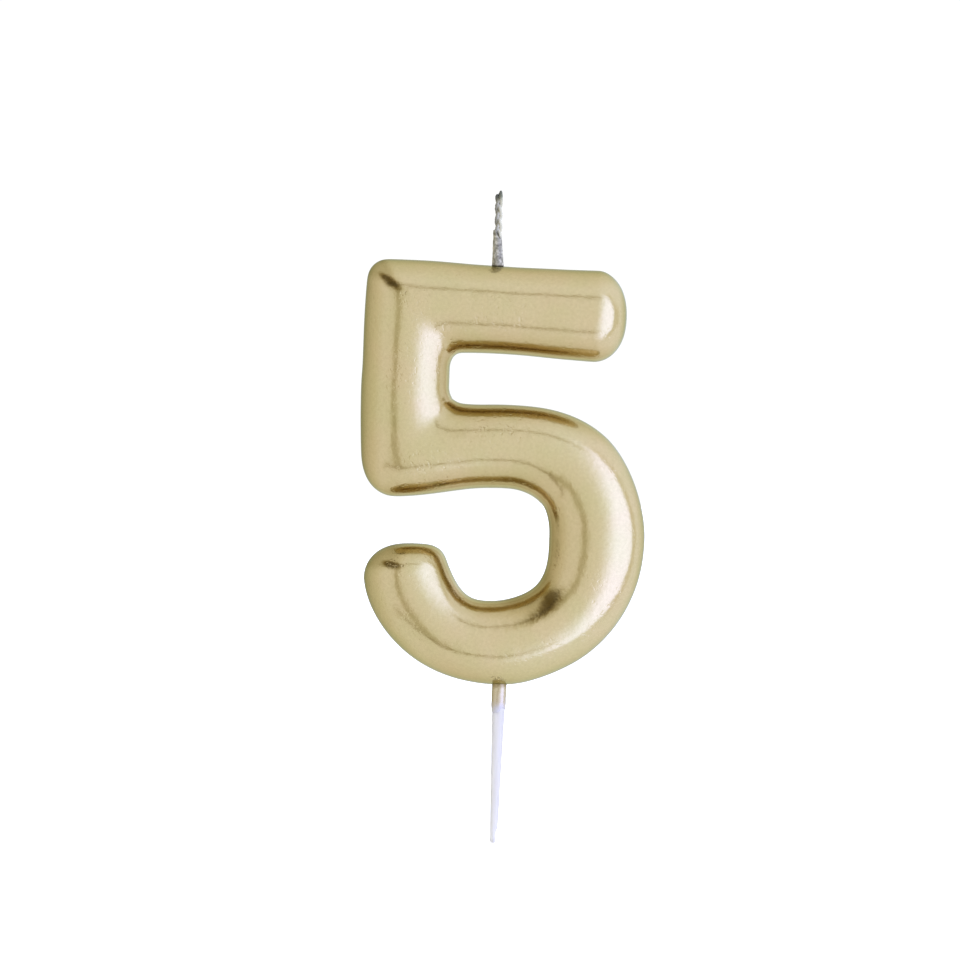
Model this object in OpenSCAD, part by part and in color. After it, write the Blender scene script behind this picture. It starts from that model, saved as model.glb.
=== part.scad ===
// Number birthday candle: a moulded wax figure 5 under a metallic lacquer,
// with a plaited cotton wick on top and a clear plastic pick below.
// Millimetres. +Z is up and +Y is the back. The origin is on the pick's axis,
// level with the lowest point of the figure, where the icing comes to.

/* [Figure] */
// Height of the figure, without its wick and pick
figure_h = 70; // [60:1:80]
// Thickness of the figure, front to back
figure_d = 13; // [11:0.5:15]
// Thickness of the metallic lacquer
lacquer_t = 0.2; // [0.15:0.05:0.3]
// Points round each cross section, a multiple of 4
section_points = 16; // [12:4:20]

/* [Wick] */
// Length of wick that stands out of the wax
wick_free = 12.5; // [8:0.5:16]
// Depth of wick in the wax
wick_sunk = 11; // [6:0.5:12]
// Diameter of one of the wick's three yarns
yarn_d = 0.5; // [0.4:0.02:0.52]
// Length over which the plait repeats
plait_pitch = 6; // [5.5:0.5:9]

/* [Pick] */
// Length of pick below the figure
pick_free = 26.2; // [20:0.2:40]
// Diameter of the pick's shank
shank_d = 2.1; // [1.8:0.1:2.4]
// Diameter of the pick at its tip
tip_d = 1.2; // [0.8:0.1:1.6]
// Depth of the pick's tang in the wax
tang_h = 9; // [7:0.5:10]
// Length of the collar round the neck of the pick
collar_h = 4.2; // [3:0.2:6]

/* [Hidden] */
$fn = 48;

// The figure is drawn 70 mm tall and scaled to its height.
scale_up = figure_h / 70;
// A power of 2 would make each cross section a true ellipse.
section_power = 2.1;

// The wick stands up out of the top bar, over its own channel.
wick_x = -2.9 * scale_up;
wick_foot_z = 69.4 * scale_up;
plait_r = 1.55 * yarn_d;
coat_bore_r = plait_r + 0.02;
channel_r = coat_bore_r + 0.1;
coat_foot_r = channel_r + 0.1;
coat_top_r = coat_bore_r + 0.07;
// Height of the waxed part of the wick above the lacquer
coat_free = 0.4 * wick_free;
yarn_sides = 8;
yarn_rings = 62;

shank_r = shank_d / 2;
// Extra radius that the pick's mould draft gives the shank inside the figure
draft = 0.02;
collar_r = shank_r + 0.15;
// The collar spreads out above this height below the figure
flare_h = 0.4;
flare_r = collar_r + 0.35;
tip_r = tip_d / 2;
tip_h = 1;
// Barbs on the tang, each a cone with a flat underside
barbs = 3;
barb_r = shank_r + 0.4;
barb_root_r = shank_r - 0.2;
barb_pitch = 0.26 * tang_h;
first_barb_z = tang_h - (barbs - 0.2) * barb_pitch;

// Cross sections through the stroke, from the end of the top bar to the end
// of the bowl. Each has how far the end is rounded off there, as an angle from
// 0 in the stroke to 90 at its end, the number of steps to the next one, and a
// point of each edge as [x, z, heading], looking at the front.
STATIONS = [
    [90, 4, [18.8, 61.6, 90], [18.8, 61.6, 270]], // end of the bar
    [40, 3, [17.0, 67.6, 132], [17.0, 55.8, 229]],
    [0, 11, [13.7, 69.3, 180], [13.3, 54.1, 178]],
    [0, 7, [-7.7, 69.6, 177], [-7.7, 54.8, 183]], // top left corner
    [0, 2, [-21.2, 69.9, 182], [-9.3, 54.4, 220]],
    [0, 2, [-23.5, 68.9, 225], [-9.6, 54.1, 230]],
    [0, 7, [-24.5, 66.4, 267], [-9.8, 53.8, 240]],
    [0, 2, [-24.7, 52.4, 270], [-10.2, 52.2, 268]], // stem
    [0, 6, [-24.8, 49.2, 270], [-10.2, 49.3, 270]], // lower left corner
    [0, 4, [-24.4, 37.6, 274], [-9.8, 47.6, 301]],
    [0, 3, [-22.4, 32.2, 314], [-9.6, 47.2, 313]],
    [0, 6, [-18.6, 30.6, 362], [-9.0, 46.8, 330]],
    [0, 3, [-7.4, 32.1, 370], [-7.2, 46.4, 357]], // arm
    [0, 5, [-2.5, 32.6, 361], [-1.5, 46.5, 361]],
    [0, 5, [2.4, 32.3, 344], [8.7, 45.6, 345]],
    [0, 5, [6.1, 30.0, 308], [17.0, 40.9, 314]],
    [0, 4, [6.9, 28.2, 287], [22.2, 31.1, 286]],
    [0, 8, [7.3, 24.5, 270], [23.2, 25.0, 270]], // right of the bowl
    [0, 7, [5.8, 17.2, 233], [19.0, 10.6, 236]],
    [0, 4, [2.0, 14.7, 200], [7.7, 1.8, 202]],
    [0, 6, [-2.4, 13.9, 180], [-0.5, 0.0, 180]], // foot of the bowl
    [0, 5, [-5.3, 14.4, 154], [-11.7, 2.4, 155]],
    [0, 4, [-7.5, 16.4, 125], [-19.8, 9.0, 127]],
    [0, 3, [-9.1, 19.4, 113], [-23.1, 16.4, 98]],
    [42, 4, [-10.5, 22.0, 138], [-21.4, 21.1, 43]],
    [90, 0, [-15.3, 23.0, 180], [-15.3, 23.0, 0]], // end of the bowl
];

// Direction of a heading, in degrees anticlockwise from +X
function way(heading) = [cos(heading), sin(heading)];

// An edge point at full size, moved inwards. The figure lies to the left of
// its first edge, where side is 1, and to the right of its second, where it is -1.
function edge_point(p, side, inset) =
    concat(scale_up * [p.x, p.y] + inset * way(p.z + 90 * side), p.z);

// Point at fraction t of the curve that leaves p and reaches q along their
// headings. The pull makes it a circular arc wherever one fits.
function along(p, q, t) =
    let (
        turn = max(1, abs(q.z - p.z)),
        chord = norm([q.x - p.x, q.y - p.y]),
        pull = chord * 2 * tan(turn / 4) / sin(turn / 2)
    )
    (2 * t ^ 3 - 3 * t ^ 2 + 1) * [p.x, p.y]
    + (3 * t ^ 2 - 2 * t ^ 3) * [q.x, q.y]
    + (t ^ 3 - 2 * t ^ 2 + t) * pull * way(p.z)
    + (t ^ 3 - t ^ 2) * pull * way(q.z);

function superellipse(v) = sign(v) * abs(v) ^ (2 / section_power);

// Cross section from edge point a to edge point b, round an end by that angle
function section(end, a, b, inset) =
    let (middle = (a + b) / 2, half = (a - b) / 2, depth = (figure_d / 2 - inset) * cos(end))
    [for (i = [0 : section_points - 1])
        let (turn = 360 * i / section_points, at = middle + superellipse(cos(turn)) * half)
        [at.x, depth * superellipse(sin(turn)), at.y]];

// Every cross section between the two ends
function sections(inset) = [
    for (s = [0 : len(STATIONS) - 2])
        let (
            from = STATIONS[s],
            to = STATIONS[s + 1],
            a = [edge_point(from[2], 1, inset), edge_point(to[2], 1, inset)],
            b = [edge_point(from[3], -1, inset), edge_point(to[3], -1, inset)]
        )
        for (i = [s == 0 ? 1 : 0 : from[1] - 1])
            let (t = i / from[1])
            section(
                from[0] + t * (to[0] - from[0]),
                along(a[0], a[1], t),
                along(b[0], b[1], t),
                inset
            )
];

// The point where the stroke ends
function end_point(station, inset) =
    let (p = edge_point(station[2], 1, inset)) [p.x, 0, p.y];

// Triangles between rings of n points, which are closed by a point at each end
function tube_faces(rings, n) = [
    for (i = [0 : n - 1]) [0, 1 + i, 1 + (i + 1) % n],
    for (r = [0 : rings - 2], i = [0 : n - 1], half = [0, 1])
        let (
            p = 1 + r * n + i,
            q = 1 + r * n + (i + 1) % n
        )
        half == 0 ? [p, p + n, q] : [q, p + n, q + n],
    for (i = [0 : n - 1])
        let (last = 1 + (rings - 1) * n)
        [last + n, last + (i + 1) % n, last + i],
];

// The solid figure, with its whole surface moved inwards
module figure(inset) {
    rings = sections(inset);
    polyhedron(
        concat(
            [end_point(STATIONS[0], inset)],
            [for (ring = rings) for (p = ring) p],
            [end_point(STATIONS[len(STATIONS) - 1], inset)]
        ),
        tube_faces(len(rings), section_points)
    );
}

module wick_channel() {
    translate([wick_x, 0, wick_foot_z - wick_sunk])
        cylinder(r = channel_r, h = wick_sunk + figure_d);
}

// The clear pick from its blunt tip up to the end of its barbed tang
module pick_shape() {
    rotate_extrude()
        polygon(concat(
            [[0, -pick_free]],
            [for (turn = [30, 60, 90])
                [tip_r * sin(turn), -pick_free + tip_h * (1 - cos(turn))]],
            [
                [shank_r, -collar_h],
                [shank_r + draft, first_barb_z - 1],
                [barb_root_r, first_barb_z - 0.6]
            ],
            [for (i = [0 : barbs - 1], step = [0, 1, 2])
                let (z = first_barb_z + i * barb_pitch)
                [[barb_root_r, z], [barb_r, z], [barb_root_r, z + 0.8 * barb_pitch]][step]],
            [[0, tang_h]]
        ));
}

// The cast paraffin figure, with a channel for the wick and a socket that the
// wax has formed round the tang
module wax_body() {
    color("ivory")
        difference() {
            figure(lacquer_t);
            wick_channel();
            pick_shape();
        }
}

// The metallic lacquer over the whole figure, open at the wick and the pick
module gold_lacquer() {
    color("darkkhaki")
        difference() {
            figure(0);
            figure(lacquer_t);
            wick_channel();
            pick_shape();
        }
}

// Lacquer round the neck of the pick, with a small flare under the figure
module neck_collar() {
    color("darkkhaki")
        difference() {
            rotate_extrude()
                polygon([
                    [0, -collar_h],
                    [collar_r, -collar_h],
                    [collar_r, -flare_h],
                    [flare_r, 0.5],
                    [0, 0.5]
                ]);
            pick_shape();
            figure(0);
        }
}

module cake_pick() {
    color("lavender") pick_shape();
}

// Priming wax round the wick, in the channel and up its lower part
module wick_wax_coat() {
    color("silver")
        translate([wick_x, 0, wick_foot_z])
            rotate_extrude()
                polygon([
                    [coat_bore_r, -wick_sunk],
                    [channel_r, -wick_sunk],
                    [channel_r, 0.1],
                    [coat_foot_r, 0.3],
                    [coat_top_r, coat_free],
                    [coat_bore_r, coat_free]
                ]);
}

// Centre of a yarn in the plait, for its angle along the pitch
function plait(turn) = yarn_d * [0.92 * sin(turn), 0.76 * sin(2 * turn)];

// One of the three yarns, which follow each other a third of a pitch apart
module wick_yarn(number) {
    length = wick_sunk + wick_free;
    bottom = wick_foot_z - wick_sunk;
    centres = [for (i = [0 : yarn_rings - 1])
        let (z = length * i / (yarn_rings - 1), c = plait(360 * z / plait_pitch + 120 * number))
        [wick_x + c.x, c.y, bottom + z]];
    color("linen")
        polyhedron(
            concat(
                [centres[0]],
                [for (c = centres, i = [0 : yarn_sides - 1])
                    c + yarn_d / 2 * concat(way(-360 * i / yarn_sides), 0)],
                [centres[yarn_rings - 1]]
            ),
            tube_faces(yarn_rings, yarn_sides)
        );
}

wax_body();
gold_lacquer();
neck_collar();
cake_pick();
wick_wax_coat();
wick_yarn(1);  // wick_yarn_1
wick_yarn(2);  // wick_yarn_2
wick_yarn(3);  // wick_yarn_3
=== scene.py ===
"""A number birthday candle: a wax figure 5 under gold lacquer, with a wick on top and a clear pick below."""

import math

import bpy
import numpy as np
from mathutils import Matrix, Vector, noise


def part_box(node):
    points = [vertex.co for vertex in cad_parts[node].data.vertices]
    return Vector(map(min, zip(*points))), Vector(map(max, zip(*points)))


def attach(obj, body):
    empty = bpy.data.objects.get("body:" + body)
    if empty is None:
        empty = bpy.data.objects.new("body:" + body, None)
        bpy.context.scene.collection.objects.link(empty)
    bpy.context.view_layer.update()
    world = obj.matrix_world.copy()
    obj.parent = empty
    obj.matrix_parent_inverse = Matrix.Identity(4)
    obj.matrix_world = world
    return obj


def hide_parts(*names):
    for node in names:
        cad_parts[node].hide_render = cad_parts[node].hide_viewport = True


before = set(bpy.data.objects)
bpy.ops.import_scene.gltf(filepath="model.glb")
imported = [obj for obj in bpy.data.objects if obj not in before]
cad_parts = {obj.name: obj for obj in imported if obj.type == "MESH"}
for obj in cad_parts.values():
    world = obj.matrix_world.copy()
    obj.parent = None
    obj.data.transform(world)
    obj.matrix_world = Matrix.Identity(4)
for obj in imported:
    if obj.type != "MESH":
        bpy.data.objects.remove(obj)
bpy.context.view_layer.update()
MM = 0.001


# --- Sizes, from the frame -------------------------------------------------

_, SKIN_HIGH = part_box("gold_lacquer")
_, WAX_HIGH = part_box("wax_body")
COLLAR_LOW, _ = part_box("neck_collar")
PICK_LOW, PICK_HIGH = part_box("cake_pick")
COAT_LOW, COAT_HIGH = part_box("wick_wax_coat")
YARN_LOW, YARN_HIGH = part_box("wick_yarn_1")

FIGURE_H = SKIN_HIGH.z
HALF_DEPTH = SKIN_HIGH.y
LACQUER = SKIN_HIGH.y - WAX_HIGH.y
WICK_X = (COAT_LOW.x + COAT_HIGH.x) / 2
COAT_FOOT_R = (COAT_HIGH.x - COAT_LOW.x) / 2
WICK_BOTTOM_Z = YARN_LOW.z
WICK_TIP_Z = YARN_HIGH.z
BARB_H = 0.4 * MM
SHANK_R = PICK_HIGH.x - BARB_H
COLLAR_THICKNESS = 0.15 * MM
COLLAR_R = SHANK_R + COLLAR_THICKNESS

# The bar's upper edge is a little lower at the wick than at the figure's top left.
BAR_TOP_Z = 0.9915 * FIGURE_H


# --- The figure's surface --------------------------------------------------

# Cross sections through the stroke of a figure 70 mm tall, from the end of the
# top bar to the end of the bowl, as in the CAD model. Each has how far the end
# is rounded off there, as an angle from 0 in the stroke to 90 at its end, the
# number of steps to the next one, and a point of each edge as x, z, heading.
STATIONS = (
    (90, 4, (18.8, 61.6, 90), (18.8, 61.6, 270)),  # end of the bar
    (40, 3, (17.0, 67.6, 132), (17.0, 55.8, 229)),
    (0, 11, (13.7, 69.3, 180), (13.3, 54.1, 178)),
    (0, 7, (-7.7, 69.6, 177), (-7.7, 54.8, 183)),  # top left corner
    (0, 2, (-21.2, 69.9, 182), (-9.3, 54.4, 220)),
    (0, 2, (-23.5, 68.9, 225), (-9.6, 54.1, 230)),
    (0, 7, (-24.5, 66.4, 267), (-9.8, 53.8, 240)),
    (0, 2, (-24.7, 52.4, 270), (-10.2, 52.2, 268)),  # stem
    (0, 6, (-24.8, 49.2, 270), (-10.2, 49.3, 270)),  # lower left corner
    (0, 4, (-24.4, 37.6, 274), (-9.8, 47.6, 301)),
    (0, 3, (-22.4, 32.2, 314), (-9.6, 47.2, 313)),
    (0, 6, (-18.6, 30.6, 362), (-9.0, 46.8, 330)),
    (0, 3, (-7.4, 32.1, 370), (-7.2, 46.4, 357)),  # arm
    (0, 5, (-2.5, 32.6, 361), (-1.5, 46.5, 361)),
    (0, 5, (2.4, 32.3, 344), (8.7, 45.6, 345)),
    (0, 5, (6.1, 30.0, 308), (17.0, 40.9, 314)),
    (0, 4, (6.9, 28.2, 287), (22.2, 31.1, 286)),
    (0, 8, (7.3, 24.5, 270), (23.2, 25.0, 270)),  # right of the bowl
    (0, 7, (5.8, 17.2, 233), (19.0, 10.6, 236)),
    (0, 4, (2.0, 14.7, 200), (7.7, 1.8, 202)),
    (0, 6, (-2.4, 13.9, 180), (-0.5, 0.0, 180)),  # foot of the bowl
    (0, 5, (-5.3, 14.4, 154), (-11.7, 2.4, 155)),
    (0, 4, (-7.5, 16.4, 125), (-19.8, 9.0, 127)),
    (0, 3, (-9.1, 19.4, 113), (-23.1, 16.4, 98)),
    (42, 4, (-10.5, 22.0, 138), (-21.4, 21.1, 43)),
    (90, 0, (-15.3, 23.0, 180), (-15.3, 23.0, 0)),  # end of the bowl
)
DRAWN_H = 70
RINGS_PER_STEP = 4
EVENING_PASSES = 5

# The cross section is a superellipse with this power, drawn with this many points.
SECTION_POWER = 2.1
SECTION_POINTS = 80


def way(heading):
    """The direction of a heading, in degrees anticlockwise from +X."""
    return np.array([math.cos(math.radians(heading)), math.sin(math.radians(heading))])


def edge_point(point, side, inset):
    """A station's edge point in metres, moved into the figure by the inset, and its heading."""
    place = np.array(point[:2]) * FIGURE_H / DRAWN_H + inset * way(point[2] + 90 * side)
    return place, point[2]


def curve(start, end, t):
    """Points at the fractions t of the curve that leaves start and reaches end along their headings."""
    (p, p_heading), (q, q_heading) = start, end
    turn = math.radians(max(1, abs(q_heading - p_heading)))
    pull = np.linalg.norm(q - p) * 2 * math.tan(turn / 4) / math.sin(turn / 2)
    t = t[:, None]
    return (
        (2 * t**3 - 3 * t**2 + 1) * p
        + (3 * t**2 - 2 * t**3) * q
        + (t**3 - 2 * t**2 + t) * pull * way(p_heading)
        + (t**3 - t**2) * pull * way(q_heading)
    )


def evened(values, fixed):
    """values with each one drawn towards its neighbours, apart from the fixed ones."""
    for _ in range(EVENING_PASSES):
        middle = (values[:-2] + 2 * values[1:-1] + values[2:]) / 4
        values = values.copy()
        values[1:-1] = np.where(fixed[1:-1, None], values[1:-1], middle)
    return values


def superellipse(value):
    """A sine or cosine changed so that the two of them trace the cross section."""
    return np.sign(value) * np.abs(value) ** (2 / SECTION_POWER)


def figure_rings(inset):
    """The figure's surface, moved inwards, as an array of rings of points.

    The points of the first ring are all in one place, and so are those of the last.
    """
    edge_a, edge_b, rounding = [], [], []
    for here, there in zip(STATIONS, STATIONS[1:]):
        rings = here[1] * RINGS_PER_STEP
        t = np.arange(rings) / rings
        edge_a.append(curve(edge_point(here[2], 1, inset), edge_point(there[2], 1, inset), t))
        edge_b.append(curve(edge_point(here[3], -1, inset), edge_point(there[3], -1, inset), t))
        rounding.append(here[0] + t * (there[0] - here[0]))
    edge_a.append([edge_point(STATIONS[-1][2], 1, inset)[0]])
    edge_b.append([edge_point(STATIONS[-1][3], -1, inset)[0]])
    rounding = np.append(np.concatenate(rounding), STATIONS[-1][0])
    edge_a = evened(np.concatenate(edge_a), rounding > 0)
    edge_b = evened(np.concatenate(edge_b), rounding > 0)

    turn = np.arange(SECTION_POINTS) * 2 * math.pi / SECTION_POINTS
    across = superellipse(np.cos(turn))[None, :, None]
    middle = ((edge_a + edge_b) / 2)[:, None, :]
    half = ((edge_a - edge_b) / 2)[:, None, :]
    flat = middle + across * half
    half_depth = (HALF_DEPTH - inset) * np.cos(np.radians(rounding))
    depth = half_depth[:, None] * superellipse(np.sin(turn))[None, :]
    return np.stack([flat[..., 0], depth, flat[..., 1]], axis=-1)


# --- Mesh making -----------------------------------------------------------

def new_object(name, points, faces, looks, slot, *nodes):
    """A smooth piece of the object that rides on the root body and stands for these CAD nodes."""
    mesh = bpy.data.meshes.new(name)
    mesh.from_pydata([tuple(p) for p in points], [], faces)
    mesh.validate()
    mesh.polygons.foreach_set("use_smooth", [True] * len(mesh.polygons))
    mesh.materials.append(looks)
    piece = bpy.data.objects.new(name, mesh)
    bpy.context.scene.collection.objects.link(piece)
    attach(piece, "root")
    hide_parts(*nodes)
    return piece


def tube_faces(rings, around):
    """Outward faces: quads between rings of points, and a fan to a single point past each end."""
    end = 1 + rings * around
    faces = []
    for i in range(around):
        j = (i + 1) % around
        faces.append((1 + j, 1 + i, 0))
        for r in range(rings - 1):
            a = 1 + r * around
            faces.append((a + j, a + around + j, a + around + i, a + i))
        last = end - around
        faces.append((last + i, last + j, end))
    return faces


def tube_points(rings):
    """Points for tube_faces: the first ring's middle, every ring, and the last ring's middle."""
    return np.concatenate([[rings[0].mean(axis=0)], rings.reshape(-1, 3), [rings[-1].mean(axis=0)]])


def band_faces(rings, around):
    """Quads between rings of points, and from the last ring back to the first."""
    faces = []
    for r in range(rings):
        a, b = r * around, (r + 1) % rings * around
        for i in range(around):
            j = (i + 1) % around
            faces.append((a + i, a + j, b + j, b + i))
    return faces


def lathe(profile, around, shape, centre_x=0):
    """Rings round a vertical axis from a profile of (radius, z), each changed by shape(radius, z, angle)."""
    rings = []
    for radius, z in profile:
        ring = []
        for i in range(around):
            angle = 2 * math.pi * i / around
            r, height = shape(radius, z, angle)
            ring.append((centre_x + r * math.cos(angle), r * math.sin(angle), height))
        rings.append(ring)
    return np.array(rings)


# --- Materials -------------------------------------------------------------

def new_material(name):
    """A material, its node tree and its shader."""
    made = bpy.data.materials.new(name)
    made.use_nodes = True
    return made, made.node_tree, made.node_tree.nodes["Principled BSDF"]


def place_node(tree):
    """The place of each point of the surface, in the row frame."""
    return tree.nodes.new("ShaderNodeTexCoord").outputs["Object"]


def share_node(tree, axis, low, high):
    """0 where the place along the axis is low, 1 where it is high and even between."""
    split = tree.nodes.new("ShaderNodeSeparateXYZ")
    tree.links.new(place_node(tree), split.inputs["Vector"])
    share = tree.nodes.new("ShaderNodeMapRange")
    share.inputs["From Min"].default_value = low
    share.inputs["From Max"].default_value = high
    tree.links.new(split.outputs[axis], share.inputs["Value"])
    return share.outputs["Result"]


def noise_node(tree, size, detail=2.0):
    """A noise texture in the row frame whose features are about size metres across."""
    made = tree.nodes.new("ShaderNodeTexNoise")
    made.inputs["Scale"].default_value = 1 / size
    made.inputs["Detail"].default_value = detail
    tree.links.new(place_node(tree), made.inputs["Vector"])
    return made.outputs["Fac"]


class Maths:
    """Short forms for a node tree's arithmetic."""

    def __init__(self, tree):
        self.tree = tree

    def do(self, operation, *values):
        made = self.tree.nodes.new("ShaderNodeMath")
        made.operation = operation
        for socket, value in zip(made.inputs, values):
            if isinstance(value, (int, float)):
                socket.default_value = value
            else:
                self.tree.links.new(value, socket)
        return made.outputs[0]

    def step(self, value, low, high):
        """0 at low, 1 at high and smooth between."""
        made = self.tree.nodes.new("ShaderNodeMapRange")
        made.interpolation_type = "SMOOTHSTEP"
        made.inputs["From Min"].default_value = low
        made.inputs["From Max"].default_value = high
        self.tree.links.new(value, made.inputs["Value"])
        return made.outputs["Result"]

    def line(self, distance, reach):
        """1 where the distance is 0, falling to 0 that far from it."""
        return self.step(self.do("ABSOLUTE", distance), reach, 0.2 * reach)

    def darker(self, value, where, share):
        """The value with that share of it taken away where where is 1."""
        return self.do("MULTIPLY", value, self.do("SUBTRACT", 1.0, self.do("MULTIPLY", where, share)))


def ramp(tree, value, *stops):
    """A colour ramp over value, with stops of (position, colour)."""
    made = tree.nodes.new("ShaderNodeValToRGB")
    elements = made.color_ramp.elements
    while len(elements) < len(stops):
        elements.new(0.5)
    for element, (position, colour) in zip(elements, stops):
        element.position = position
        element.color = (*colour, 1)
    tree.links.new(value, made.inputs["Fac"])
    return made.outputs["Color"]


def bump(tree, shader, heights):
    """Bumps on the shader from a list of (height value, depth in metres)."""
    normal = None
    for height, depth in heights:
        made = tree.nodes.new("ShaderNodeBump")
        made.inputs["Distance"].default_value = depth
        tree.links.new(height, made.inputs["Height"])
        if normal:
            tree.links.new(normal, made.inputs["Normal"])
        normal = made.outputs["Normal"]
    tree.links.new(normal, shader.inputs["Normal"])


def scaled(tree, colour, factor):
    """A colour multiplied by another one."""
    made = tree.nodes.new("ShaderNodeMix")
    made.data_type = "RGBA"
    made.blend_type = "MULTIPLY"
    made.inputs["Factor"].default_value = 1
    tree.links.new(colour, made.inputs["A"])
    tree.links.new(factor, made.inputs["B"])
    return made.outputs["Result"]


def gold_looks():
    """Champagne gold lacquer, uneven and dented in patches, with painted shade: its colour turns browner
    where the figure's own limbs are near, standing in for their shade and reflection.

    Seen edge-on it mirrors what lies behind it, so the painted brown fades there.
    """
    made, tree, shader = new_material("champagne_lacquer")
    patches = noise_node(tree, 7 * MM, 3)
    hue = ramp(tree, patches, (0.35, (0.605, 0.475, 0.225)), (0.65, (0.575, 0.475, 0.211)))
    flakes = noise_node(tree, 0.5 * MM, 3)
    shade = ramp(tree, flakes, (0.3, (0.96, 0.96, 0.94)), (0.7, (1.03, 1.03, 1.03)))
    # Painted shade and reflection: browner where the figure's own limbs are near, less so edge-on.
    near = tree.nodes.new("ShaderNodeAmbientOcclusion")
    near.inputs["Distance"].default_value = 25 * MM
    maths = Maths(tree)
    edge_on = maths.step(tree.nodes.new("ShaderNodeLayerWeight").outputs["Facing"], 0.4, 0.65)
    clear = maths.do("MAXIMUM", near.outputs["AO"], edge_on)
    painted_limb_shade = ramp(tree, clear, (0.5, (0.68, 0.58, 0.44)), (0.8, (0.87, 0.82, 0.74)), (1.0, (1, 1, 1)))
    tree.links.new(scaled(tree, scaled(tree, hue, shade), painted_limb_shade), shader.inputs["Base Color"])
    shader.inputs["Metallic"].default_value = 1
    shader.inputs["Specular Tint"].default_value = (0.63, 0.69, 0.58, 1)
    rough = ramp(tree, noise_node(tree, 1.5 * MM, 4), (0.35, (0.15,) * 3), (0.7, (0.22,) * 3))
    tree.links.new(rough, shader.inputs["Roughness"])
    dents = ramp(tree, noise_node(tree, 0.7 * MM, 2), (0.26, (0, 0, 0)), (0.42, (1, 1, 1)))
    where = ramp(tree, noise_node(tree, 9 * MM, 1), (0.50, (1, 1, 1)), (0.62, (0, 0, 0)))
    dents = maths.do("MAXIMUM", dents, where)
    grain = noise_node(tree, 0.4 * MM, 2)
    ripples = noise_node(tree, 1.1 * MM, 1)
    waves = noise_node(tree, 2.5 * MM, 1)
    bump(tree, shader, [(grain, 0.009 * MM), (ripples, 0.02 * MM), (dents, 0.025 * MM), (waves, 0.04 * MM)])
    return made


def thin_gold_looks():
    """The same lacquer worn thin over clear plastic, paler and greyer towards its lower edge, with painted
    shade making its top darker brown right under the figure.
    """
    made, tree, shader = new_material("thin_lacquer")
    height = share_node(tree, "Z", COLLAR_LOW.z, 0)
    runs = noise_node(tree, 1.3 * MM, 3)
    maths = Maths(tree)
    uneven = maths.do("MULTIPLY_ADD", runs, 0.5, -0.25)
    height = maths.do("ADD", height, uneven)
    # The last stop is painted shade: dark brown where the collar meets the figure.
    colour = ramp(
        tree, height,
        (0.0, (0.57, 0.53, 0.46)), (0.35, (0.56, 0.46, 0.28)),
        (0.8, (0.56, 0.46, 0.25)), (1.0, (0.36, 0.27, 0.12)),
    )
    tree.links.new(colour, shader.inputs["Base Color"])
    tree.links.new(ramp(tree, height, (0.05, (0.0,) * 3), (0.4, (0.95,) * 3)), shader.inputs["Metallic"])
    shader.inputs["Specular Tint"].default_value = (0.63, 0.69, 0.66, 1)
    shader.inputs["Roughness"].default_value = 0.25
    bump(tree, shader, [(noise_node(tree, 0.4 * MM, 2), 0.02 * MM), (runs, 0.12 * MM)])
    return made


def wax_looks():
    """Cream paraffin, slightly translucent."""
    made, tree, shader = new_material("paraffin")
    cloud = noise_node(tree, 4 * MM, 4)
    colour = ramp(tree, cloud, (0.3, (0.80, 0.76, 0.64)), (0.7, (0.88, 0.85, 0.75)))
    tree.links.new(colour, shader.inputs["Base Color"])
    shader.inputs["Roughness"].default_value = 0.45
    shader.inputs["Subsurface Weight"].default_value = 0.4
    shader.inputs["Subsurface Radius"].default_value = (3 * MM, 2.4 * MM, 1.6 * MM)
    bump(tree, shader, [(cloud, 0.05 * MM)])
    return made


def pick_looks():
    """Clear styrene, clouded by flow streaks along its length."""
    made, tree, shader = new_material("clear_styrene")
    squeeze = tree.nodes.new("ShaderNodeMapping")
    squeeze.inputs["Scale"].default_value = (1, 1, 0.06)
    texture = tree.nodes.new("ShaderNodeTexNoise")
    texture.inputs["Scale"].default_value = 1 / (0.45 * MM)
    tree.links.new(place_node(tree), squeeze.inputs["Vector"])
    tree.links.new(squeeze.outputs["Vector"], texture.inputs["Vector"])
    streaks = texture.outputs["Fac"]
    tint = ramp(tree, streaks, (0.35, (0.71, 0.68, 0.61)), (0.65, (0.78, 0.755, 0.68)))
    tree.links.new(tint, shader.inputs["Base Color"])
    shader.inputs["Transmission Weight"].default_value = 0.6
    shader.inputs["Roughness"].default_value = 0.4
    shader.inputs["IOR"].default_value = 1.4
    shader.inputs["Specular IOR Level"].default_value = 0.2
    bump(tree, shader, [(streaks, 0.03 * MM)])
    return made


def cotton_looks():
    """Cream cotton, with painted shade darkening its left side, and charred at its tip."""
    made, tree, shader = new_material("cotton_yarn")
    # Painted shade: the cotton darkens towards its left, the side away from the light.
    painted_left_shade = ramp(
        tree, share_node(tree, "X", WICK_X - 0.9 * MM, WICK_X + 0.5 * MM),
        (0.0, (0.16, 0.14, 0.08)), (0.4, (0.40, 0.37, 0.24)),
        (0.6, (0.55, 0.51, 0.34)), (0.8, (0.67, 0.62, 0.38)),
    )
    char = ramp(
        tree, share_node(tree, "Z", WICK_TIP_Z - 3.5 * MM, WICK_TIP_Z),
        (0.0, (1, 1, 1)), (0.5, (0.9, 0.9, 0.85)),
        (0.72, (0.3, 0.32, 0.26)), (1.0, (0.15, 0.17, 0.14)),
    )
    fibres = ramp(tree, noise_node(tree, 0.12 * MM, 4), (0.3, (0.9, 0.9, 0.9)), (0.7, (1, 1, 1)))
    tree.links.new(scaled(tree, scaled(tree, painted_left_shade, char), fibres), shader.inputs["Base Color"])
    shader.inputs["Roughness"].default_value = 0.8
    shader.inputs["Sheen Weight"].default_value = 0.2
    bump(tree, shader, [(noise_node(tree, 0.15 * MM, 2), 0.01 * MM)])
    return made


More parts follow.
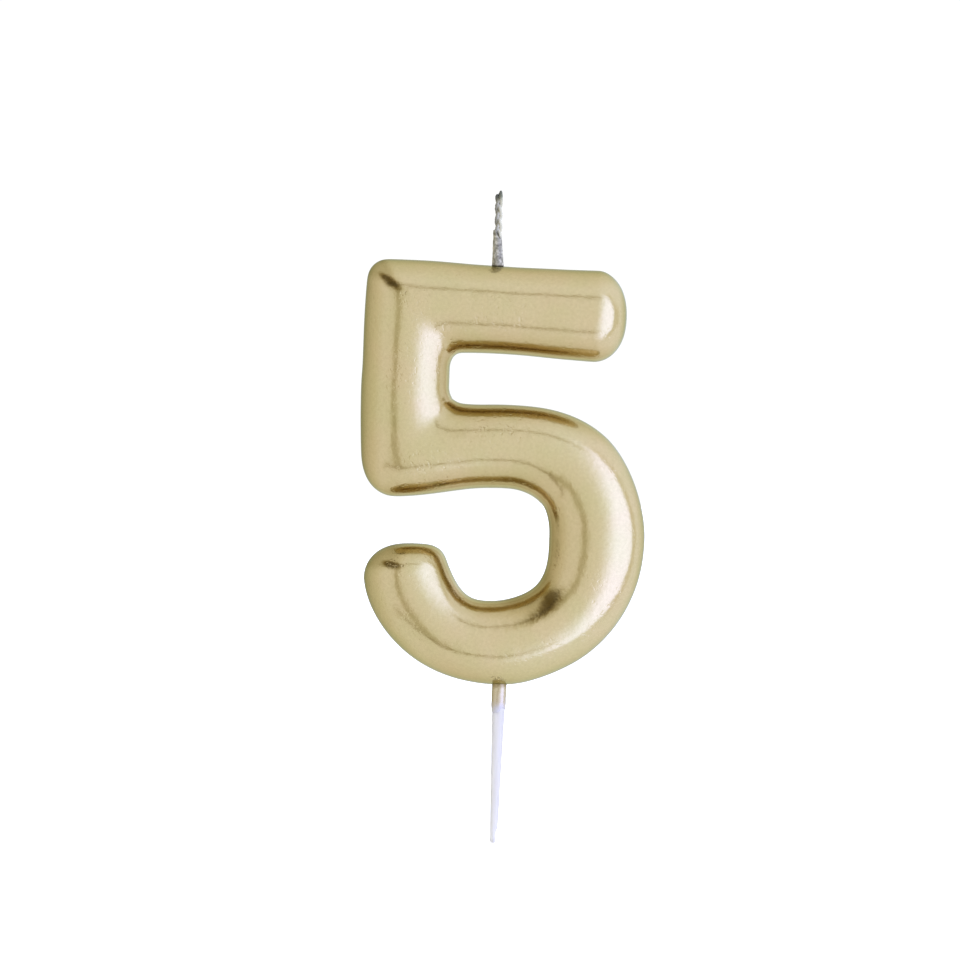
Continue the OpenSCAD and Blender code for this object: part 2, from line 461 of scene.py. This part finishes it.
def priming_looks():
    """Grey mottled priming wax, with painted shade making it darkest where it meets the lacquer."""
    made, tree, shader = new_material("grey_priming_wax")
    spots = noise_node(tree, 0.6 * MM, 5)
    colour = ramp(
        tree, spots,
        (0.3, (0.12, 0.10, 0.055)), (0.5, (0.34, 0.31, 0.195)), (0.68, (0.64, 0.58, 0.39)),
    )
    # Painted shade: a dark band where the wick stands on the lacquer.
    painted_contact_shade = ramp(
        tree, share_node(tree, "Z", BAR_TOP_Z - 0.3 * MM, BAR_TOP_Z + 0.5 * MM),
        (0.35, (0.3, 0.27, 0.18)), (0.6, (1, 1, 1)),
    )
    tree.links.new(scaled(tree, colour, painted_contact_shade), shader.inputs["Base Color"])
    shader.inputs["Roughness"].default_value = 0.5
    bump(tree, shader, [(spots, 0.08 * MM)])
    return made


def floor_looks():
    """Flat white that glows a little, so that the floor stays even."""
    made, _, shader = new_material("white_floor")
    shader.inputs["Base Color"].default_value = (0.9, 0.9, 0.9, 1)
    shader.inputs["Roughness"].default_value = 1
    shader.inputs["Emission Color"].default_value = (1, 1, 1, 1)
    shader.inputs["Emission Strength"].default_value = 0.7
    return made


# --- The figure ------------------------------------------------------------

def wobble(points, size, depth):
    """A smooth uneven height at each point, up to depth, with waves about size across."""
    return np.array([noise.noise(Vector(p) / size) for p in points]) * depth


def outward(rings):
    """The surface's outward direction at each point of the rings."""
    along = np.gradient(rings, axis=0)
    around = np.roll(rings, -1, axis=1) - np.roll(rings, 1, axis=1)
    normal = np.cross(around, along)
    size = np.linalg.norm(normal, axis=-1, keepdims=True)
    return normal / np.maximum(size, 1e-12)


# Where the wick and the pick go through the lacquer: x, height and radius.
HOLES = ((WICK_X, BAR_TOP_Z, 0.95 * COAT_FOOT_R), (0, 0, COLLAR_R - 0.1 * MM))
HOLE_REACH = 3 * MM


def hand_made(rings):
    """The surface with the slow unevenness of a mould finished by hand."""
    height = wobble(rings.reshape(-1, 3), size=7 * MM, depth=0.05 * MM).reshape(rings.shape[:2])
    height[0] = height[0].mean()
    height[-1] = height[-1].mean()
    uneven = rings + outward(rings) * height[..., None]
    uneven[0] = uneven[0].mean(axis=0)
    uneven[-1] = uneven[-1].mean(axis=0)
    return uneven


def skin_points(rings):
    """Points for tube_faces: one for the first ring, the rings between, and one for the last ring."""
    return np.concatenate([rings[:1, 0], rings[1:-1].reshape(-1, 3), rings[-1:, 0]])


def edges_of(faces):
    """The edges of the faces, each in the direction in which its face runs along it."""
    return [(face[i - 1], face[i]) for face in faces for i in range(len(face))]


def cut_holes(faces, points):
    """The faces that are left outside the holes, and the edges of the holes' rims."""
    inside = np.zeros(len(points), bool)
    for x, z, radius in HOLES:
        near = np.hypot(points[:, 0] - x, points[:, 1]) < radius
        inside |= near & (np.abs(points[:, 2] - z) < HOLE_REACH)
    kept = [face for face in faces if not any(inside[i] for i in face)]
    cut = [face for face in faces if any(inside[i] for i in face)]
    kept_edges = set(edges_of(kept))
    return kept, [(a, b) for a, b in edges_of(cut) if (b, a) in kept_edges]


def rim_points(rim, points, x, z):
    """The numbers of the rim's points that are round the hole at x and z."""
    return [
        i for i in {i for edge in rim for i in edge}
        if abs(points[i, 0] - x) < HOLE_REACH and abs(points[i, 2] - z) < HOLE_REACH
    ]


def make_skin(looks):
    """The lacquer: an outer and an inner surface, joined round the holes for the wick and the pick."""
    rings = figure_rings(0)
    outer = skin_points(hand_made(rings))
    inner = skin_points(figure_rings(LACQUER))
    kept, rim = cut_holes(tube_faces(len(rings) - 2, SECTION_POINTS), outer)
    for x, z, radius in HOLES:
        for i in rim_points(rim, outer, x, z):
            for points in (outer, inner):
                off = points[i, :2] - (x, 0)
                points[i, :2] = (x, 0) + off * radius / np.linalg.norm(off)

    total = len(outer)
    faces = kept + [tuple(i + total for i in face[::-1]) for face in kept]
    faces += [(a, b, b + total, a + total) for a, b in rim]
    used = sorted({i for face in faces for i in face})
    place = {old: new for new, old in enumerate(used)}
    faces = [tuple(place[i] for i in face) for face in faces]
    points = np.concatenate([outer, inner])[used]
    return new_object("gold_skin", points, faces, looks, "metallic_lacquer", "gold_lacquer")


# --- The pick --------------------------------------------------------------

PICK_TIP_R = 0.6 * MM
BARBS = 3


def make_pick(looks):
    """The pick, with a barbed tang and a blunt tip that is broken away on its right."""
    top, low = PICK_HIGH.z, PICK_LOW.z
    barb_r = PICK_HIGH.x
    root_r = SHANK_R - 0.2 * MM
    profile = [(0.1 * MM, low), (0.4 * MM, low + 0.05 * MM), (0.55 * MM, low + 0.3 * MM)]
    profile += [(PICK_TIP_R, low + height * MM) for height in (0.6, 1)]
    steps = 30
    taper = COLLAR_LOW.z - low - 1 * MM
    for i in range(1, steps + 1):
        t = i / steps
        profile.append((PICK_TIP_R + (SHANK_R - PICK_TIP_R) * t, low + 1 * MM + taper * t))
    profile += [(SHANK_R, -0.5 * MM), (SHANK_R, 0.5 * MM)]
    for i in range(BARBS):
        z = top - (2.8 - i) * 0.26 * top
        profile += [(root_r, z - 0.1 * MM), (barb_r - 0.05 * MM, z), (barb_r, z + 0.1 * MM)]
        profile.append((root_r, z + 0.2 * top))
    profile.append((0.05 * MM, top))

    def shape(radius, z, angle):
        broken = min(1, max(0, (low + 2.6 * MM - z) / (0.6 * MM)))
        return radius * (1 - 0.45 * broken * max(0, math.cos(angle))), z

    around = 40
    rings = lathe(profile, around, shape)
    faces = tube_faces(len(rings), around)
    return new_object("pick_stick", tube_points(rings), faces, looks, "clear_plastic", "cake_pick")


def make_collar(looks):
    """Lacquer round the neck of the pick, with a ragged lower edge and a fillet under the figure."""
    length = -COLLAR_LOW.z
    profile = [(SHANK_R, 0.5 * MM), (SHANK_R, -length), (SHANK_R + 0.02 * MM, -length)]
    steps = 24
    for i in range(1, steps + 1):
        t = i / steps
        thickness = COLLAR_THICKNESS * min(1, 0.35 + 2.5 * t)
        profile.append((SHANK_R + thickness, -length * (1 - t)))
    profile += [(COLLAR_R + 0.05 * MM, 0.2 * MM), (COLLAR_R + 0.1 * MM, 0.5 * MM)]

    def shape(radius, z, angle):
        near_edge = max(0.0, -z / length - 0.35) / 0.65
        drop = 0.45 * math.cos(angle + 2.9) + 0.2 * math.sin(3 * angle + 1) + 0.1 * math.sin(7 * angle)
        lump = 0.05 * MM * noise.noise(Vector((math.cos(angle), math.sin(angle), z / MM)) * 1.1)
        return radius + (lump if radius > SHANK_R + 0.01 * MM else 0), z - near_edge * drop * MM

    around = 64
    rings = lathe(profile, around, shape)
    faces = band_faces(len(rings), around)
    return new_object("collar", rings.reshape(-1, 3), faces, looks, "metallic_lacquer", "neck_collar")


# --- The wick --------------------------------------------------------------

YARN_R = 0.3 * MM
PLAIT_PITCH = 6 * MM
PLY_PITCH = 1.5 * MM
WICK_SLOPE = -0.022


def yarn_centre(number, z):
    """Where a yarn's middle is at a height, with the plait opening out at the tip."""
    turn = 2 * math.pi * ((z - WICK_BOTTOM_Z) / PLAIT_PITCH + number / 3)
    free = max(0, 1 - (WICK_TIP_Z - z) / (2.2 * MM))
    x = 2 * YARN_R * 0.6 * math.sin(turn)
    y = 2 * YARN_R * 0.55 * math.sin(2 * turn)
    bend = WICK_SLOPE * max(0, z - BAR_TOP_Z)
    lean = ((-0.35, 0.1), (0.5, -0.1), (0.1, 0.35))[number - 1]
    return np.array([WICK_X + bend + x + lean[0] * free**2 * MM, y + lean[1] * free**2 * MM, z])


def make_yarn(number, looks):
    """A yarn of two twisted plies."""
    count, around = 260, 18
    rings = []
    tip_z = WICK_TIP_Z - (0.35, 0, 0.6)[number - 1] * MM
    for r in range(count):
        z = WICK_BOTTOM_Z + (tip_z - WICK_BOTTOM_Z) * r / (count - 1)
        centre = yarn_centre(number, z)
        closing = min(1, (count - r) / 6) ** 0.5
        ring = []
        for i in range(around):
            angle = 2 * math.pi * i / around
            ply = abs(math.cos(angle - 2 * math.pi * z / PLY_PITCH))
            rough = noise.noise(Vector((centre[0], angle * 0.2 * MM, z)) / (0.25 * MM))
            radius = YARN_R * closing * (0.88 + 0.12 * ply + 0.12 * rough)
            ring.append((centre[0] + radius * math.cos(angle), centre[1] + radius * math.sin(angle), z))
        rings.append(ring)
    points = tube_points(np.array(rings))
    faces = tube_faces(count, around)
    return new_object(f"cotton_yarn_{number}", points, faces, looks, "cotton", f"wick_yarn_{number}")


def make_coat(looks):
    """Priming wax that fills the plait's hollows, with a ragged upper edge."""
    bore_r = COAT_FOOT_R - 0.2 * MM
    channel_r = COAT_FOOT_R - 0.1 * MM
    top = COAT_HIGH.z
    profile = [(bore_r, COAT_LOW.z), (channel_r, COAT_LOW.z), (channel_r, BAR_TOP_Z)]
    steps = 26
    for i in range(steps + 1):
        t = i / steps
        radius = COAT_FOOT_R - (COAT_FOOT_R - bore_r - 0.05 * MM) * t**0.7
        profile.append((radius, BAR_TOP_Z + 0.1 * MM + (top - BAR_TOP_Z) * t))
    profile.append((bore_r, top))

    def shape(radius, z, angle):
        if z < BAR_TOP_Z + 0.05 * MM:
            return radius, z
        up = min(1, (z - BAR_TOP_Z) / (top - BAR_TOP_Z))
        lump = noise.noise(Vector((math.cos(angle), math.sin(angle), 1.6 * z / MM)))
        ragged = -0.8 * math.cos(angle) + 0.3 * math.sin(2 * angle + 0.5) + 0.2 * math.sin(5 * angle)
        squeeze = 1 - 0.3 * up * max(0, math.cos(angle))
        return radius * squeeze + 0.07 * MM * lump * (radius > bore_r), z + up**2 * ragged * 0.9 * MM

    around = 48
    rings = lathe(profile, around, shape, WICK_X)
    rings[..., 0] += WICK_SLOPE * np.maximum(0, rings[..., 2] - BAR_TOP_Z)
    faces = band_faces(len(rings), around)
    return new_object("wick_coat", rings.reshape(-1, 3), faces, looks, "priming_wax", "wick_wax_coat")


# --- Studio ----------------------------------------------------------------

PHOTO_WIDTH = 159.1 * MM
CAMERA_DISTANCE = 1.2
LEAN = math.radians(-2.2)
LOOKED_AT_X = -4.5 * MM
LOOKED_AT_Z = 33.83 * MM


def make_camera():
    """A level long lens in front of the figure, rolled so that the candle leans to the right."""
    data = bpy.data.cameras.new("camera")
    data.sensor_width = 36
    data.lens = data.sensor_width * CAMERA_DISTANCE / PHOTO_WIDTH
    data.clip_start = 0.05
    data.clip_end = 50
    camera = bpy.data.objects.new("camera", data)
    bpy.context.scene.collection.objects.link(camera)
    camera.location = (LOOKED_AT_X, -CAMERA_DISTANCE, LOOKED_AT_Z)
    camera.rotation_mode = "XYZ"
    camera.rotation_euler = (math.pi / 2, LEAN, 0)
    bpy.context.scene.camera = camera


# The light tent as a flat picture of all directions: the camera is at its middle,
# straight behind the object is at a distance of 1 from there, and places are
# (across, up). Levels are in parts of the tent's strength.
TENT_STRENGTH = 1.41
LEVELS_ACROSS = (
    (-1.0, 0.38), (-0.8, 0.56), (-0.45, 0.76), (-0.25, 0.745),
    (-0.08, 0.775), (0.2, 0.86), (0.8, 0.88), (1.0, 0.70),
)
LEVELS_UP = ((-1.0, 0.85), (-0.5, 1.0), (0.0, 1.0), (0.5, 1.02), (0.8, 0.86), (1.0, 0.68))

# The colour of the light at each level.
LIGHT_COLOURS = (
    (0.0, (0.0, 0.0, 0.0)),
    (0.15, (0.20, 0.15, 0.055)),
    (0.36, (0.37, 0.36, 0.30)),
    (0.65, (0.63, 0.65, 0.71)),
    (0.80, (0.75, 0.80, 1.04)),
    (0.94, (0.86, 0.95, 1.46)),
    (1.30, (1.17, 1.36, 2.75)),
)
BRIGHTEST = 1.30

# The slopes and half widths of the joins between the panels.
UPPER_JOIN = math.tan(math.radians(38))
LOWER_JOIN = math.tan(math.radians(33))
LEFT_JOIN = math.tan(math.radians(22))
JOIN_REACH = 0.06
LEFT_JOIN_REACH = 0.17
WINDOW_HALF_SIZE = (0.665, 0.42)
GAP_PLACE = (-0.31, 0.345)
GAP_HALF_SIZE = (0.28, 0.135)
GAP_TURN = math.radians(150)

# The share of the light that each dark place takes away.
CORNER_SHADE = 0.30
JOIN_SHADE = 0.7
LEFT_JOIN_SHADE = 0.42
GAP_SHADE = 0.88
FRAME_SHADE = 0.22


def oval(tree, place, centre, half_size, turn=0.0):
    """Distance from the centre of an oval, as a share of the way to its edge."""
    local = tree.nodes.new("ShaderNodeMapping")
    local.vector_type = "TEXTURE"
    local.inputs["Location"].default_value = (*centre, 0)
    local.inputs["Rotation"].default_value = (0, 0, turn)
    local.inputs["Scale"].default_value = (*half_size, 1)
    tree.links.new(place, local.inputs["Vector"])
    length = tree.nodes.new("ShaderNodeVectorMath")
    length.operation = "LENGTH"
    tree.links.new(local.outputs["Vector"], length.inputs[0])
    return length.outputs["Value"]


def level_along(tree, maths, value, levels):
    """The levels, given at places from -1 to 1, read at a value."""
    stops = [((place + 1) / 2, (level,) * 3) for place, level in levels]
    return ramp(tree, maths.do("MULTIPLY_ADD", value, 0.5, 0.5), *stops)


def tent_level(tree, maths):
    """How bright the tent is in each direction."""
    place = tree.nodes.new("ShaderNodeTexCoord")
    upright = tree.nodes.new("ShaderNodeMapping")
    upright.inputs["Rotation"].default_value = (0, -LEAN, 0)
    split = tree.nodes.new("ShaderNodeSeparateXYZ")
    tree.links.new(place.outputs["Generated"], upright.inputs["Vector"])
    tree.links.new(upright.outputs["Vector"], split.inputs["Vector"])
    x, y, z = split.outputs
    spread = maths.do("SQRT", maths.do("MAXIMUM", maths.do("MULTIPLY_ADD", y, -2.0, 2.0), 0.0001))
    across = maths.do("DIVIDE", x, spread)
    up = maths.do("DIVIDE", z, spread)
    flat = tree.nodes.new("ShaderNodeCombineXYZ")
    tree.links.new(across, flat.inputs["X"])
    tree.links.new(up, flat.inputs["Y"])
    flat = flat.outputs["Vector"]

    walls = maths.do(
        "MULTIPLY", level_along(tree, maths, across, LEVELS_ACROSS), level_along(tree, maths, up, LEVELS_UP)
    )
    upper_left = maths.do(
        "MULTIPLY", maths.step(up, 0.15, 0.45), maths.step(maths.do("MULTIPLY", across, -1.0), 0.02, 0.3)
    )
    walls = maths.darker(walls, upper_left, CORNER_SHADE)

    # Joins run where the front panel meets the upper, lower and left ones.
    front = maths.do("MAXIMUM", maths.do("MULTIPLY", y, -1.0), 0.0)
    sideways = maths.do("MAXIMUM", front, maths.do("ABSOLUTE", x))
    upper = maths.line(maths.do("SUBTRACT", z, maths.do("MULTIPLY", sideways, UPPER_JOIN)), JOIN_REACH)
    lower = maths.line(maths.do("ADD", z, maths.do("MULTIPLY", sideways, LOWER_JOIN)), JOIN_REACH)
    left = maths.line(maths.do("ADD", x, maths.do("MULTIPLY", front, LEFT_JOIN)), LEFT_JOIN_REACH)
    between = maths.do("SUBTRACT", maths.do("MULTIPLY", front, UPPER_JOIN), maths.do("ABSOLUTE", z))
    left = maths.do("MULTIPLY", left, maths.step(between, 0.0, 0.05))
    ends = maths.do("MULTIPLY", maths.step(across, -0.5, -0.3), maths.step(across, 0.35, 0.15))
    level_joins = maths.do("MULTIPLY", maths.do("MAXIMUM", upper, lower), ends)
    walls = maths.darker(walls, level_joins, JOIN_SHADE)
    walls = maths.darker(walls, left, LEFT_JOIN_SHADE)

    # A gap at the upper left corner shows the dark room.
    gap = maths.step(oval(tree, flat, GAP_PLACE, GAP_HALF_SIZE, GAP_TURN), 1.15, 0.5)
    walls = maths.darker(walls, gap, GAP_SHADE)

    # The window on the right has a thin frame and is veiled towards its left.
    reach = oval(tree, flat, (0, 0), WINDOW_HALF_SIZE)
    veil = maths.step(maths.do("MULTIPLY_ADD", up, -0.25, across), 0.05, 0.38)
    frame_edge = maths.do("MULTIPLY", maths.step(reach, 1.15, 1.09), maths.step(across, 0.3, 0.5))
    walls = maths.darker(walls, frame_edge, FRAME_SHADE)
    window = maths.do("MULTIPLY", maths.step(reach, 1.03, 0.95), veil)
    more = maths.do("MULTIPLY", maths.do("SUBTRACT", BRIGHTEST, walls), window)
    return maths.do("ADD", walls, more)


def make_world():
    """The light tent round the object, and plain white behind it for the camera."""
    world = bpy.data.worlds.new("light_tent")
    bpy.context.scene.world = world
    world.use_nodes = True
    tree = world.node_tree
    tree.nodes.clear()
    maths = Maths(tree)
    level = tent_level(tree, maths)
    stops = [(place / BRIGHTEST, colour) for place, colour in LIGHT_COLOURS]
    colour = ramp(tree, maths.do("DIVIDE", level, BRIGHTEST), *stops)

    tent = tree.nodes.new("ShaderNodeBackground")
    tree.links.new(colour, tent.inputs["Color"])
    tent.inputs["Strength"].default_value = TENT_STRENGTH
    white = tree.nodes.new("ShaderNodeBackground")
    white.inputs["Color"].default_value = (1, 1, 1, 1)
    white.inputs["Strength"].default_value = 1.05
    path = tree.nodes.new("ShaderNodeLightPath")
    mix = tree.nodes.new("ShaderNodeMixShader")
    seen = maths.do("MAXIMUM", path.outputs["Is Camera Ray"], path.outputs["Is Transmission Ray"])
    tree.links.new(seen, mix.inputs["Fac"])
    tree.links.new(tent.outputs[0], mix.inputs[1])
    tree.links.new(white.outputs[0], mix.inputs[2])
    out = tree.nodes.new("ShaderNodeOutputWorld")
    tree.links.new(mix.outputs[0], out.inputs["Surface"])


def make_floor():
    """A white floor just under the tip of the pick.

    The tent lights the object from below as well, so the floor shades and reflects nothing.
    """
    size, z = 20, PICK_LOW.z - 0.05 * MM
    corners = [(-size, -size, z), (size, -size, z), (size, size, z), (-size, size, z)]
    mesh = bpy.data.meshes.new("floor")
    mesh.from_pydata(corners, [], [(0, 1, 2, 3)])
    mesh.materials.append(floor_looks())
    floor = bpy.data.objects.new("floor", mesh)
    bpy.context.scene.collection.objects.link(floor)
    floor.visible_glossy = False
    floor.visible_diffuse = False
    floor.visible_shadow = False


KEY_AZIMUTH = math.radians(70)
KEY_DISTANCE = 1.4


def make_key_light():
    """A softbox behind the window on the right, which the gold doesn't mirror a second time."""
    data = bpy.data.lights.new("key", "AREA")
    data.shape = "RECTANGLE"
    data.size, data.size_y = 1.2, 1.1
    data.energy = 2
    key = bpy.data.objects.new("key", data)
    bpy.context.scene.collection.objects.link(key)
    direction = Vector((math.sin(KEY_AZIMUTH), -math.cos(KEY_AZIMUTH), 0.1))
    key.location = direction * KEY_DISTANCE
    key.rotation_mode = "QUATERNION"
    key.rotation_quaternion = direction.to_track_quat("Z", "Y")
    key.visible_camera = False
    key.visible_glossy = False


# --- Putting it together ---------------------------------------------------

make_camera()
gold = gold_looks()
make_skin(gold)
make_collar(thin_gold_looks())
make_pick(pick_looks())
cotton = cotton_looks()
for number in (1, 2, 3):
    make_yarn(number, cotton)
make_coat(priming_looks())
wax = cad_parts["wax_body"]
wax.data.materials.clear()
wax.data.materials.append(wax_looks())

make_world()
make_floor()
make_key_light()
bpy.context.scene.view_settings.view_transform = "Standard"
